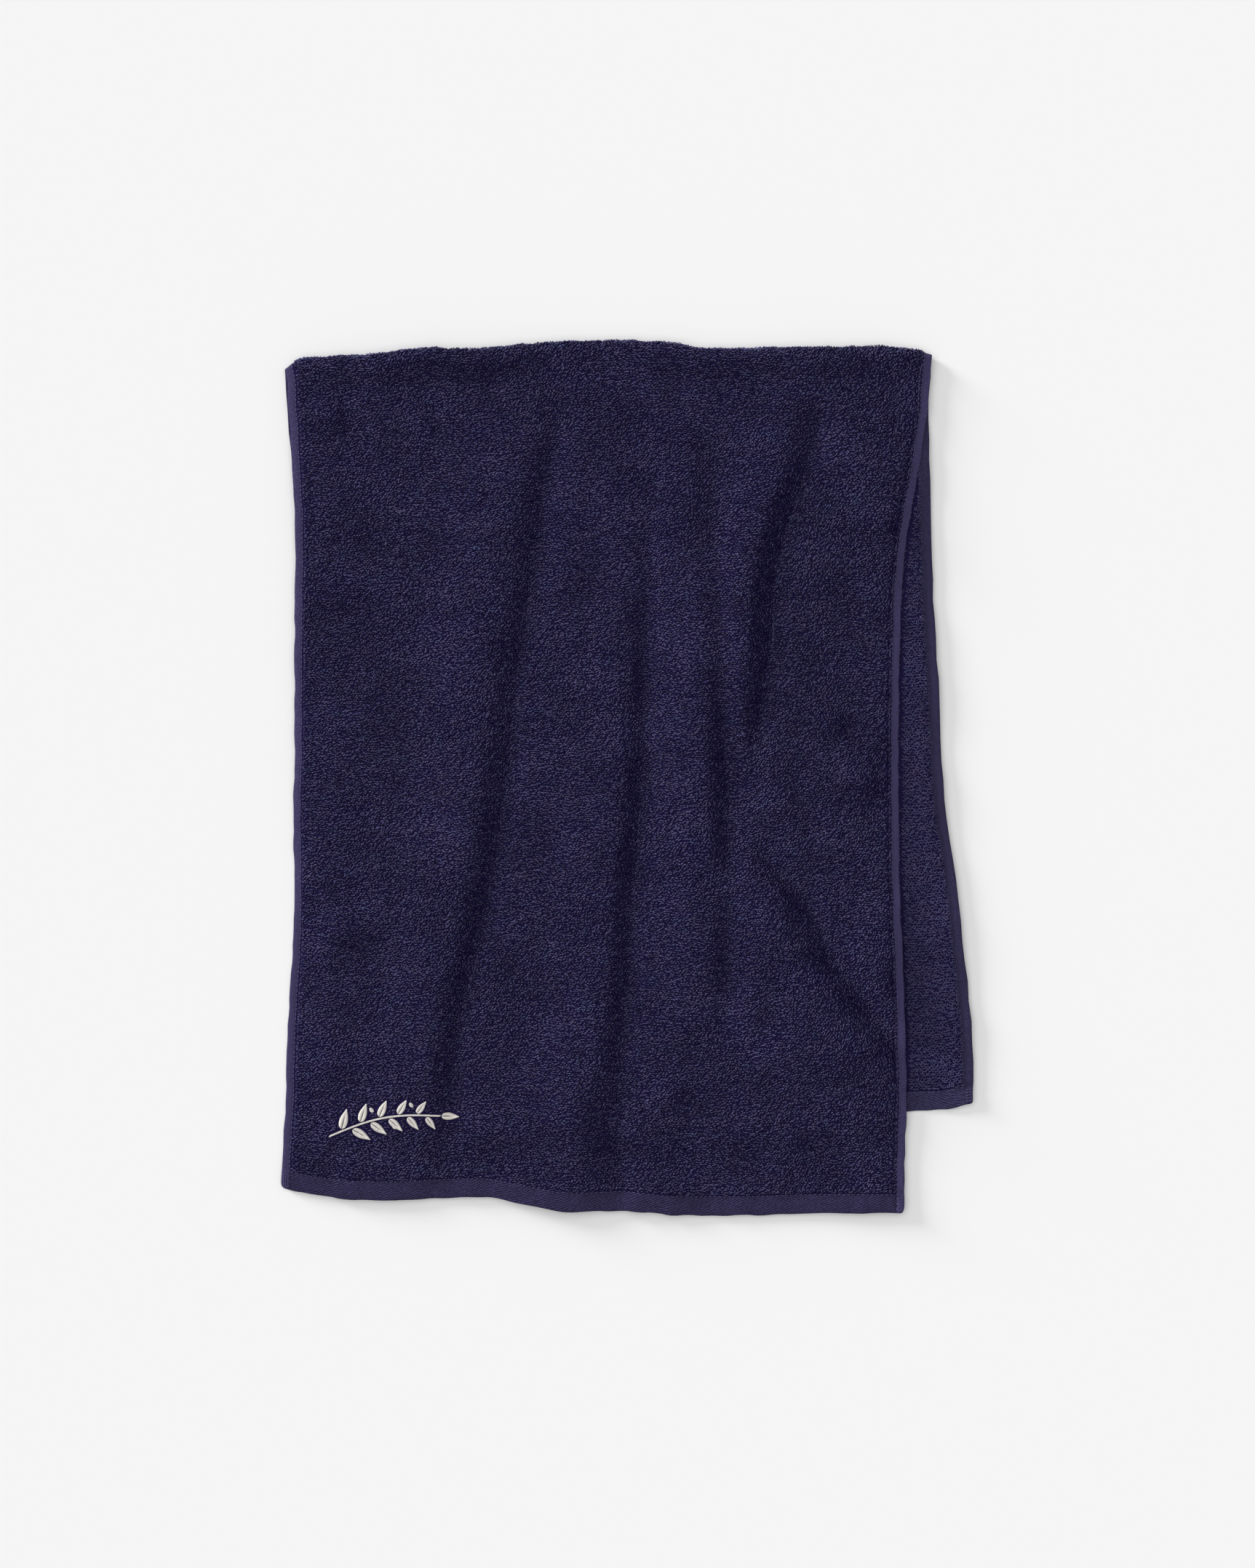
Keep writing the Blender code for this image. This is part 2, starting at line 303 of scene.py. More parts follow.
# The pile, in rows across the cloth: lying loops on the front, curled ones on the strip
# of the back layer that shows. Both are a little coarser than real ones.
ROW_PITCH = 1.12
COLUMN_PITCH = 1.6
PILE_HEIGHT = 0.62
LOOP_LENGTH = 3.1
LOOP_WIDTH = 0.9
LOOP_DEPTH = 0.68
CURL_ROW_PITCH = 1.3
CURL_PITCH = 1.9
CURL_LENGTH = 1.95
CURL_WIDTH = 0.74
PILE_BANDS = 4

# A line's form: at each of its points the reach along, the rise and the bend aside
LYING_LOOP = ((-0.5, -0.15, 0.0), (0.04, 1.0, 1.0), (0.5, -0.15, 0.0))
CURLED_LOOP = ((-0.5, -0.1, -0.1), (-0.4, 0.6, 0.3), (0.0, 1.0, 1.0), (0.4, 0.6, 0.3),
               (0.5, -0.1, -0.1))
STITCH = ((-0.5, -0.25, 0.0), (-0.24, 1.0, 0.0), (0.24, 1.0, 0.0), (0.5, -0.25, 0.0))

# Painted shade on pile that slopes away from the low lamp: how much darker, and the slopes
# where that starts and is full. Then how much tone changes in large and small patches, and
# height.
PILE_PAINTED_SHADE = 1.9
PAINTED_SHADE_FROM = 0.11
PAINTED_SHADE_FULL = 0.45
NAP = 0.4
CLUMPS = 0.9
CLUMP_HEIGHT = 0.28

# Where the loops end: under the roll, close to the surface, round the sprig's threads,
# and on the back layer both under the front layer and just beside it
WRAP_UNDER = 2.0
WRAP_EASE = 3.0
LOWEST_TIP = 0.2
CLEAR_OF_THREAD = 0.9
STRIP_MARGIN = 5.0
MARGIN_EASE = 1.5
# Beside the front layer's edge the band without loops shows the dark ground as a painted
# shadow line
BARE_BESIDE_EDGE = 1.9

# Sewing thread
STITCH_PITCH = 2.6
STITCH_LENGTH = 2.1
STITCH_RISE = 0.28
TACK_PITCH = 1.5
TACK_DOWN = 1.7
TACK_ACROSS = 1.9
TACK_RISE = 0.42
THREAD_WIDTH = 0.5
THREAD_DEPTH = 0.34

# The embroidered sprig, at the lower left of the front
SPRIG_CENTRE = (-127.4, -183.0)
SPRIG_SPAN = 58.0
SPRIG_RISE = 11.0
SPRIG_BOW = 4.5
STEM_SLANT = 32
STEM_REACH = 0.95
LEAF_PAIRS = 5
LEAF_STEP = 0.17
LEAF_ANGLE = 52
LEAF_LENGTH = 11.5
LEAF_WIDTH = 4.6
LEAF_STALK = 0.8
SATIN_PITCH = 0.42
SATIN_WIDTH = 0.62
SATIN_DEPTH = 0.5
SATIN_AHEAD = 0.16
BERRY_RADIUS = 1.35
BERRY_REACH = 5.4

# Flat twill of the hems: pitch in metres, lean in degrees, how broken its ribs are, and
# the share of the tint that is left between ribs, as painted shade in the grooves
Twill = namedtuple("Twill", "name pitch lean broken low tint")
TWILLS = (
    Twill("side_hem_twill", 0.00082, -48, 0.4, 0.42, (0.099, 0.084, 0.208)),
    Twill("back_side_twill", 0.00082, -48, 0.4, 0.36, (0.066, 0.056, 0.140)),
    Twill("end_hem_twill", 0.00115, 66, 1.0, 0.2, (0.063, 0.052, 0.136)),
    Twill("back_end_twill", 0.00115, -66, 1.0, 0.2, (0.074, 0.065, 0.160)),
)

# The camera stands above the middle of the photo's frame: metres, and its sensor in mm
CAMERA_HEIGHT = 1.9
VIEW_CENTRE = (0.0002, -0.0031)
VIEW_LENGTH = 0.8273
SENSOR = 36.0

# A low lamp at the upper left and a wide one overhead, in a pale room. Angles are in
# degrees, and bearing is where the light goes, clockwise from +X.
Lamp = namedtuple("Lamp", "name strength width elevation bearing")
LAMPS = (
    Lamp("low_lamp", 3.2, 20, 13, 34),
    Lamp("overhead_lamp", 1.62, 80, 80, 30),
)
ROOM_LIGHT = 0.31

# The floor's reach in metres, and how pale it is
FLOOR_REACH = 30.0
FLOOR_SHADE = 0.875

Strip = namedtuple(
    "Strip", "middle normal across along from_side from_end front_row outer inner")


def column(rows, name):
    return np.array([getattr(row, name) for row in rows], dtype=float)


def read(rows, key, name, at):
    """One column of a table as a smooth curve through its rows, read at key = at."""
    keys = column(rows, key)
    values = column(rows, name)
    order = np.argsort(keys)
    keys = keys[order]
    values = values[order]
    slopes = np.gradient(values, keys)
    low = np.clip(np.searchsorted(keys, at) - 1, 0, len(keys) - 2)
    span = keys[low + 1] - keys[low]
    t = np.clip((at - keys[low]) / span, 0.0, 1.0)
    start = (1 + 2 * t) * (1 - t) ** 2 * values[low]
    leave = t * (1 - t) ** 2 * span * slopes[low]
    end = t * t * (3 - 2 * t) * values[low + 1]
    arrive = t * t * (t - 1) * span * slopes[low + 1]
    return start + leave + end + arrive


def ease(start, end, at):
    """0 before start, 1 past end, and smooth between them."""
    t = np.clip((at - start) / (end - start), 0.0, 1.0)
    return t * t * (3 - 2 * t)


def hump(distance):
    """1 at distance 0, falling smoothly to 0 at distance 1."""
    return 0.5 + 0.5 * np.cos(np.pi * np.clip(distance, 0.0, 1.0))


def wavy(x, y, long_x, long_y, seed, waves=18):
    """Smooth unevenness from -1 to 1, with lumps of about long_x by long_y."""
    rng = np.random.default_rng(seed)
    total = np.zeros(np.broadcast(x, y).shape)
    for _ in range(waves):
        turn = rng.uniform(0, 2 * np.pi)
        shift = rng.uniform(0, 2 * np.pi)
        finer = rng.uniform(0.6, 1.5)
        total += np.sin(2 * np.pi * finer * (np.cos(turn) * x / long_x
                                             + np.sin(turn) * y / long_y) + shift)
    return np.tanh(total / np.sqrt(waves))


def ridge_height(x, y):
    total = np.zeros_like(x)
    for ridge in RIDGES:
        steep = read(ridge.crests, "y", "x", y)
        height = np.maximum(read(ridge.crests, "y", "height", y), 0.0)
        fall = read(ridge.crests, "y", "fall", y) * FALL_SHARE
        offset = x - (steep - CREST_BEFORE * fall)
        down = np.cos(np.pi / 2 * np.clip(offset / fall, 0.0, 1.0)) ** FOOT_SHAPE
        past = offset - fall
        again = ease(0.0, REBOUND_AT, past) * (1 - ease(REBOUND_AT, REBOUND_END, past))
        down = down + REBOUND * again
        total = total + height * np.where(offset < 0, hump(-offset / ridge.rise), down)
    return total


def swell_height(swells, x, y):
    total = np.zeros_like(x)
    for swell in swells:
        turn = np.radians(swell.turn)
        along = (x - swell.x) * np.cos(turn) + (y - swell.y) * np.sin(turn)
        aside = (y - swell.y) * np.cos(turn) - (x - swell.x) * np.sin(turn)
        away = np.hypot(along / swell.reach_x, aside / swell.reach_y)
        total = total + swell.height * hump(away)
    return total


def over_back(x, y):
    """1 where the front layer lies on the back layer, 0 where it lies on the surface."""
    past_side = read(SECTIONS, "y", "back_left", y) - x
    past_end = read(BACK_END, "x", "y", x) - y
    past = np.maximum(past_side, past_end)
    return 1 - ease(CLEAR_OF_EDGE, CLEAR_OF_EDGE + SINK_LENGTH, past)


def front_height(x, y, below_fold):
    """The middle of the front layer's cloth, above the surface."""
    height = PILE_THICKNESS / 2
    height = height + (PILE_THICKNESS + LAYER_GAP) * over_back(x, y)
    height = height + ridge_height(x, y) + swell_height(FRONT_SWELLS, x, y)
    height = height + swell_height(CREASES, x, y)
    height = height + UNEVEN * (0.5 + 0.5 * wavy(x, y, 26, 40, 3))
    roll = read(FOLD, "x", "lift", x)
    return height + roll * (1 - ease(0.0, ROLL_SETTLE, below_fold))


def back_height(x, y):
    return PILE_THICKNESS / 2 + swell_height(BACK_SWELLS, x, y)


def in_strip(x, y, margin):
    """1 on the back layer's top where it shows, beside the front layer."""
    edge = read(SECTIONS, "y", "front_right", y)
    return ease(-margin - MARGIN_EASE, -margin, x - edge)


def column_shares():
    side = np.array(SIDE_MARKS) / WIDTH_ACROSS
    body = np.linspace(side[-1], 1 - side[-1], BODY_COLUMNS + 1)
    return np.concatenate((side[:-1], body, 1 - side[:-1][::-1]))


def row_shares(rows, length):
    """From the fold, 0, down to the end hem, 1."""
    end = 1 - np.array(END_MARKS)[::-1] / length
    return np.concatenate((np.linspace(0.0, end[0], rows + 1)[:-1], end))


def half_thickness(from_side, from_end, pile, side_hem, lip):
    """Half of the cloth's thickness: hems with rounded edges, seams and ground or pile."""
    side = hem_profile(from_side, side_hem, pile)
    side = side + lip * hump(np.abs(from_side - side_hem - 0.2) / LIP_REACH)
    end = hem_profile(from_end, END_HEM, pile)
    to_edge = np.clip(np.minimum(from_side, from_end) / EDGE_ROUND, 0.0, 1.0)
    rounding = EDGE_LEAST + (1 - EDGE_LEAST) * np.sqrt(1 - (1 - to_edge) ** 2)
    return np.minimum(side, end) * rounding


def hem_profile(inward, hem, pile):
    """Half of the thickness from an edge inward: the hem, its seam and then pile."""
    seam = hem - SEAM_WIDTH / 2
    hem_half = HEM_THICKNESS / 2
    crown = hem_half * (1 + CROWN * np.sin(np.pi * np.clip(inward / hem, 0.0, 1.0)))
    into_seam = ease(seam - SEAM_WIDTH, seam, inward)
    out_of_seam = ease(seam, hem + PILE_EDGE, inward)
    low = crown + (SEAM_THICKNESS / 2 - crown) * into_seam
    return low + (pile - low) * out_of_seam


def hem_sink(from_side, from_end):
    """The thinner hems lie lower, so that they touch what the pile beside them touches."""
    in_side = 1 - ease(SIDE_HEM, SIDE_HEM + PILE_EDGE, from_side)
    in_end = 1 - ease(END_HEM, END_HEM + PILE_EDGE, from_end)
    return (PILE_THICKNESS - HEM_THICKNESS) / 2 * np.maximum(in_side, in_end)


def across_at(side_columns, share, y):
    left = read(SECTIONS, "y", side_columns[0], y)
    right = read(SECTIONS, "y", side_columns[1], y)
    return left + (right - left) * share


def layer(side_columns, ends, shares_across, shares_down, fold_y, length, seed):
    """Grid of x, y and distances to the hems, from the fold down to one end hem."""
    share = shares_across[None, :]
    down = shares_down[:, None]
    end_x = across_at(side_columns, share, np.full_like(share, ends[0].y))
    end_y = read(ends, "x", "y", end_x)
    y = fold_y + (end_y - fold_y) * down
    x = across_at(side_columns, np.broadcast_to(share, y.shape), y)
    from_side = np.minimum(share, 1 - share) * WIDTH_ACROSS + 0 * y
    from_end = (1 - down) * length + 0 * y

    # The sewn edges wander a little
    near_side = 1 - ease(0.0, WOBBLE_REACH, from_side)
    near_end = 1 - ease(0.0, WOBBLE_REACH, from_end)
    x = x + EDGE_WOBBLE * near_side * wavy(share * WOBBLE_SCALE, y, 60, 17, seed)
    y = y + EDGE_WOBBLE * near_end * wavy(x, down * WOBBLE_SCALE, 17, 60, seed + 1)

    # The corners are rounded: squares become quarter discs
    p = np.clip((CORNER_ROUND - from_side) / CORNER_ROUND, 0.0, 1.0)
    q = np.clip((CORNER_ROUND - from_end) / CORNER_ROUND, 0.0, 1.0)
    reach = np.hypot(p, q)
    shrink = np.where(reach > 0, np.maximum(p, q) / np.where(reach > 0, reach, 1), 1)
    outward = np.where(share < 0.5, -1.0, 1.0)
    x = x - outward * p * (1 - shrink) * CORNER_ROUND
    y = y + q * (1 - shrink) * CORNER_ROUND
    return x, y, from_side, from_end


def front_sheet(shares, start_y, high):
    """The middle of the front layer's cloth, from the roll down to its end hem."""
    x, y, from_side, from_end = layer(
        ("front_left", "front_right"), FRONT_END, shares,
        row_shares(FRONT_ROWS, FRONT_LENGTH), start_y, FRONT_LENGTH, 21)
    below = start_y[None, :] - y
    from_right = (1 - shares) * WIDTH_ACROSS
    lying = over_back(x, y)
    z = front_height(x, y, below) - hem_sink(from_side, from_end)
    pucker = PUCKER * (1 + wavy(x, from_end, 11, 40, 61))
    z = z + pucker * (1 - ease(END_HEM, PUCKER_REACH, from_end))
    curl = END_CURL * (1 - ease(0.0, END_CURL_REACH, from_end))
    z = z + curl * (1 + 0.5 * wavy(x, 0, 70, 70, 36))
    z = z - LAYER_GAP * (1 - ease(4.0, 14.0, from_right)) * lying
    z = z + FREE_CURL * (1 - ease(0.0, CURL_REACH, from_right)) * (1 - lying)
    z = z + (high - z[0]) * (1 - ease(0.0, ROLL_JOIN, below))
    return np.stack((x, y, z), axis=-1), from_side, from_end


def back_sheet(shares, start_y):
    """The middle of the back layer's cloth, from the roll down to its end hem."""
    x, y, from_side, from_end = layer(
        ("back_left", "back_right"), BACK_END, shares,
        row_shares(BACK_ROWS, BACK_LENGTH), start_y, BACK_LENGTH, 31)
    from_right = (1 - shares) * WIDTH_ACROSS
    curl = EDGE_CURL * (1 - ease(0.0, CURL_REACH, from_right))
    curl = curl * (1 + 0.3 * wavy(0, y, 50, 50, 35))
    z = back_height(x, y) - hem_sink(from_side, from_end)
    z = z + curl * ease(6.0, 60.0, start_y[None, :] - y)
    return np.stack((x, y, z), axis=-1), from_side, from_end


def make_strip():
    """Grid of the cloth, from the back's end hem over the fold to the front's."""
    shares = column_shares()
    top_x = across_at(("front_left", "front_right"), shares,
                      np.full_like(shares, SECTIONS[0].y))
    top_y = read(FOLD, "x", "y", top_x) + 0.3 * wavy(top_x, 0, 14, 14, 8)
    side = np.minimum(shares, 1 - shares) * WIDTH_ACROSS
    far = np.full_like(side, FRONT_LENGTH)
    thick = 2 * half_thickness(side, far, PILE_THICKNESS / 2, OUTER_SIDE_HEM, 0.0)
    sink = hem_sink(side, far)

    # The roll's diameter is set by the heights of the two layers where they meet it
    high = front_height(top_x, top_y, np.zeros_like(top_x)) - sink
    low = back_height(top_x, top_y) - sink
    radius = (high - low) / 2
    start_y = top_y - radius - thick / 2
    front, front_side, front_end = front_sheet(shares, start_y, high)
    back, back_side, back_end = back_sheet(shares, start_y)
    turn = np.linspace(-np.pi / 2, np.pi / 2, ROLL_STEPS + 1)[1:-1, None]
    part_front = (1 + np.sin(turn)) / 2
    roll_x = back[0, :, 0] + (front[0, :, 0] - back[0, :, 0]) * part_front
    roll_y = start_y + radius * np.cos(turn)
    roll_z = low + (high - low) * part_front
    roll = np.stack((roll_x, roll_y, roll_z), axis=-1)

    middle = np.concatenate((back[::-1], roll, front))
    from_side = np.vstack((back_side[::-1], np.broadcast_to(side, roll_x.shape), front_side))
    from_end = np.vstack((back_end[::-1], np.broadcast_to(far, roll_x.shape), front_end))
    normal = grid_normals(middle)
    outside = middle + normal * PILE_THICKNESS / 2
    steps = np.linalg.norm(np.diff(outside, axis=0), axis=-1).mean(axis=1)
    along = np.concatenate(([0.0], np.cumsum(steps)))
    outer, inner = cloth_faces(middle, normal, along, from_side, from_end, len(back))
    return Strip(middle, normal, shares * CLOTH_WIDTH, along, from_side, from_end,
                 len(back) + len(roll), outer, inner)


def cloth_faces(middle, normal, along, from_side, from_end, fold_row):
    """The cloth's outer and inner faces. The outer one has loops on the front and round
    the fold, the inner one only where the back layer shows. Elsewhere the face itself
    stands for the pile. Neither goes below the surface that the towel lies on."""
    under = along[fold_row] - along
    looped_out = 1 - ease(WRAP_UNDER, WRAP_UNDER + WRAP_EASE, under)[:, None] + 0 * from_side
    looped_in = in_strip(middle[..., 0], middle[..., 1], STRIP_MARGIN)
    looped_in[fold_row:] = 0.0
    full = PILE_THICKNESS / 2
    ground = GROUND_THICKNESS / 2
    out_pile = full + (ground - full) * looped_out
    in_pile = full + (ground - full) * looped_in
    out_half = half_thickness(from_side, from_end, out_pile, OUTER_SIDE_HEM, 0.0)
    in_half = half_thickness(from_side, from_end, in_pile, INNER_SIDE_HEM, LIP_HEIGHT)
    outer = middle + normal * out_half[..., None]
    inner = middle - normal * in_half[..., None]
    outer[..., 2] = np.maximum(outer[..., 2], 0.0)
    inner[..., 2] = np.maximum(inner[..., 2], 0.0)
    return outer, inner


def grid_normals(points):
    """Which way the cloth's outer side faces at each point."""
    down = np.gradient(points, axis=0)
    right = np.gradient(points, axis=1)
    return unit(np.cross(down, right))


def unit(vectors):
    return vectors / np.maximum(np.linalg.norm(vectors, axis=-1, keepdims=True), 1e-9)


def mesh_object(name, points, faces, materials, maps=(), numbers=(), slots=None):
    """A smooth mesh from arrays. faces has one row of corners for each face."""
    mesh = bpy.data.meshes.new(name)
    corners = faces.shape[1]
    mesh.vertices.add(len(points))
    mesh.vertices.foreach_set("co", (points * METRE).astype(np.float32).ravel())
    mesh.loops.add(faces.size)
    mesh.loops.foreach_set("vertex_index", faces.astype(np.int32).ravel())
    mesh.polygons.add(len(faces))
    mesh.polygons.foreach_set(
        "loop_start", np.arange(0, faces.size, corners, dtype=np.int32))
    if slots is not None:
        mesh.polygons.foreach_set("material_index", slots.astype(np.int32))
    mesh.update(calc_edges=True)
    for map_name, places in maps:
        layer_map = mesh.uv_layers.new(name=map_name)
        layer_map.uv.foreach_set("vector", places.astype(np.float32).ravel())
    for number_name, values in numbers:
        kept = mesh.attributes.new(number_name, "FLOAT", "POINT")
        kept.data.foreach_set("value", values.astype(np.float32).ravel())
    mesh.shade_smooth()
    for material in materials:
        mesh.materials.append(material)
    made = bpy.data.objects.new(name, mesh)
    bpy.context.scene.collection.objects.link(made)
    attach(made, BODY)
    return made


def make_cloth(strip, materials):
    """The ground cloth and its hems, one closed mesh. Its materials are in this order:
    ground under loops, cloth without loops, side hem, its inner side, end hem, its inner
    side. The rim counts as inner side."""
    rows, columns = strip.from_side.shape
    shift = rows * columns
    number = np.arange(shift).reshape(rows, columns)
    a, b = number[:-1, :-1].ravel(), number[1:, :-1].ravel()
    c, d = number[1:, 1:].ravel(), number[:-1, 1:].ravel()
    out_faces = np.stack((a, b, c, d), axis=1)
    in_faces = out_faces[:, ::-1] + shift
    edge = np.concatenate((number[0], number[1:, -1], number[-1, -2::-1], number[-2:0:-1, 0]))
    ahead = np.roll(edge, -1)
    rim = np.stack((edge, ahead, ahead + shift, edge + shift), axis=1)
    faces = np.concatenate((out_faces, in_faces, rim))
    points = np.concatenate((strip.outer.reshape(-1, 3), strip.inner.reshape(-1, 3)))

    side = strip.from_side.ravel()
    end = strip.from_end.ravel()
    face_side = np.tile(side, 2)[faces].mean(axis=1)
    face_end = np.tile(end, 2)[faces].mean(axis=1)
    looped = np.zeros(2 * shift)
    under = strip.along[strip.front_row] - strip.along
    looped[:shift] = np.repeat(under < WRAP_UNDER + 18.0, columns)
    shows = in_strip(strip.middle[..., 0], strip.middle[..., 1], STRIP_MARGIN)
    shows[strip.front_row:] = 0.0
    looped[shift:] = shows.ravel() > 0.5
    slots = np.where(looped[faces].mean(axis=1) > 0.5, 0, 1)
    facing_in = np.arange(len(faces)) >= len(out_faces)
    slots = np.where(face_end < END_HEM - SEAM_WIDTH / 2, 4 + facing_in, slots)
    hem_reach = np.full(len(faces), OUTER_SIDE_HEM - 0.3)
    hem_reach[len(out_faces):] = INNER_SIDE_HEM + LIP_REACH
    slots = np.where(face_side < hem_reach, 2 + facing_in, slots)

    # Cloth coordinates in metres, down from the fold on both layers, and a map with
    # both sides beside each other
    across = np.tile(strip.across, rows)
    along = np.repeat(strip.along, columns)
    down = np.abs(along - strip.along[strip.front_row])
    flat = np.stack((np.tile(across, 2), np.tile(down, 2)), axis=1) * METRE
    bake = np.stack((across / CLOTH_WIDTH * 0.49, along / strip.along[-1]), axis=1)
    both = np.concatenate((bake, bake + np.array((0.51, 0.0))))
    flat_corners = flat[faces]
    bake_corners = both[faces]
    is_rim = slice(len(faces) - len(rim), len(faces))
    bake_corners[is_rim] = bake_corners[is_rim][:, (0, 1, 1, 0)]
    return mesh_object(
        "towel_cloth", points, faces, materials,
        maps=(("OFBake", bake_corners), ("flat", flat_corners)), slots=slots)


def at_places(strip, surface, along, across):
    """Places on the grid: point, normal, and the directions across and along."""
    r = np.clip(np.searchsorted(strip.along, along) - 1, 0, len(strip.along) - 2)
    c = np.clip(np.searchsorted(strip.across, across) - 1, 0, len(strip.across) - 2)
    v = ((along - strip.along[r]) / (strip.along[r + 1] - strip.along[r]))[:, None]
    u = ((across - strip.across[c]) / (strip.across[c + 1] - strip.across[c]))[:, None]

    def between(values):
        top = values[r, c] * (1 - u) + values[r, c + 1] * u
        low = values[r + 1, c] * (1 - u) + values[r + 1, c + 1] * u
        return top * (1 - v) + low * v

    right = unit(surface[r, c + 1] - surface[r, c])
    down = unit(surface[r + 1, c] - surface[r, c])
    return between(surface), unit(between(strip.normal)), right, down


def yarns(name, spine, upward, width, depth, tone_and_shade, material):
    """Short closed yarns, all in one mesh. spine has the points of each one's line: its
    two ends are tips, and at each point between them the yarn is three-sided."""
    count, steps = spine.shape[:2]
    rings = steps - 2
    tangent = np.gradient(spine, axis=1)
    up = unit(upward)[:, None, :]
    sideways = unit(np.cross(tangent, up))
    wide = (sideways * width[:, None, None] / 2)[:, 1:-1]
    high = up * depth / 2
    body = spine[:, 1:-1]
    ring = np.stack((body - wide - high, body + high, body + wide - high), axis=2)
    points = np.concatenate(
        (spine[:, :1], ring.reshape(count, rings * 3, 3), spine[:, -1:]), axis=1)
    points[..., 2] = np.maximum(points[..., 2], 0.0)
    last = 1 + 3 * rings

    faces = []
    places = []
    for side in range(3):
        other = (side + 1) % 3
        low, mid, top = side / 3, (side + 0.5) / 3, (side + 1) / 3
        faces.append((0, 1 + other, 1 + side))
        places.append(((0, mid), (1 / (steps - 1), top), (1 / (steps - 1), low)))
        for k in range(rings - 1):
            here, there = 1 + 3 * k, 4 + 3 * k
            near, next_one = (k + 1) / (steps - 1), (k + 2) / (steps - 1)
            faces.append((here + side, here + other, there + other))
            places.append(((near, low), (near, top), (next_one, top)))
            faces.append((here + side, there + other, there + side))
            places.append(((near, low), (next_one, top), (next_one, low)))
        end = 1 + 3 * (rings - 1)
        faces.append((last, end + side, end + other))
        places.append(((1, mid), ((steps - 2) / (steps - 1), low),
                       ((steps - 2) / (steps - 1), top)))
    faces = np.array(faces)[None] + (np.arange(count) * (last + 1))[:, None, None]

    # Each yarn has its own cell of the bake's map
    cells = int(np.ceil(np.sqrt(count)))
    cell = np.stack((np.arange(count) % cells, np.arange(count) // cells), axis=1)
    inside = 0.06 + 0.88 * np.array(places)
    maps = (cell[:, None, None, :] + inside[None]) / cells

    # Painted shade and highlight: each yarn is darkest at its tips, dark on its lower sides
    # and lightest along its top line
    painted_shade_rise = np.zeros((count, last + 1))
    painted_shade_rise[:, 1:last] = np.tile((0.12, 1.0, 0.12), rings)
    tones = np.repeat(tone_and_shade, last + 1)
    return mesh_object(
        name, points.reshape(-1, 3), faces.reshape(-1, 3), [material],
        maps=(("OFBake", maps.reshape(-1, 2)),),
        numbers=(("painted_shade_rise", painted_shade_rise), ("tone_and_shade", tones)))


def arches(form, point, run, normal, length, height, bend):
    """Lines of one form: where each stands, which way it runs, and how far it bends."""
    aside = np.cross(normal, run)
    spine = []
    for reach, rise, bow in form:
        step = run * (reach * length)[:, None] + normal * (rise * height)[:, None]
        spine.append(point + step + aside * (bow * bend)[:, None])
    return np.stack(spine, axis=1)


def turned(right, up, degrees):
    """Directions that are turned from right towards up."""
    angle = np.radians(degrees)[:, None]
    return right * np.cos(angle) + up * np.sin(angle)


def pile_places(first, last, start, end, row_pitch, pitch, seed):
    """Rows of loops along the cloth, with the unevenness of real ones."""
    rng = np.random.default_rng(seed)
    rows = np.arange(first, last, row_pitch)
    columns = np.arange(start, end, pitch)
    along, across = np.meshgrid(rows, columns, indexing="ij")
    odd = (np.arange(len(rows)) % 2)[:, None] * pitch / 2
    drift = 0.5 * wavy(across, along, 60, 22, seed + 5)
    across = across + odd + rng.normal(0, 0.26, along.shape)
    along = along + drift + rng.normal(0, 0.22, along.shape)
    return along.ravel(), np.clip(across, start, end).ravel()


def lie_angle(x, y, slant):
    """Which way the loops lie, in degrees: in patches longer than wide, and steeper
    where the cloth falls away to the right."""
    patches = wavy(x, y, 50, 110, 11)
    finer = wavy(x, y, 12, 16, 12)
    return (12 + 20 * patches + 13 * finer + 22 * ease(50, 105, x)
            + 70 * np.clip(slant, 0.0, 0.4))


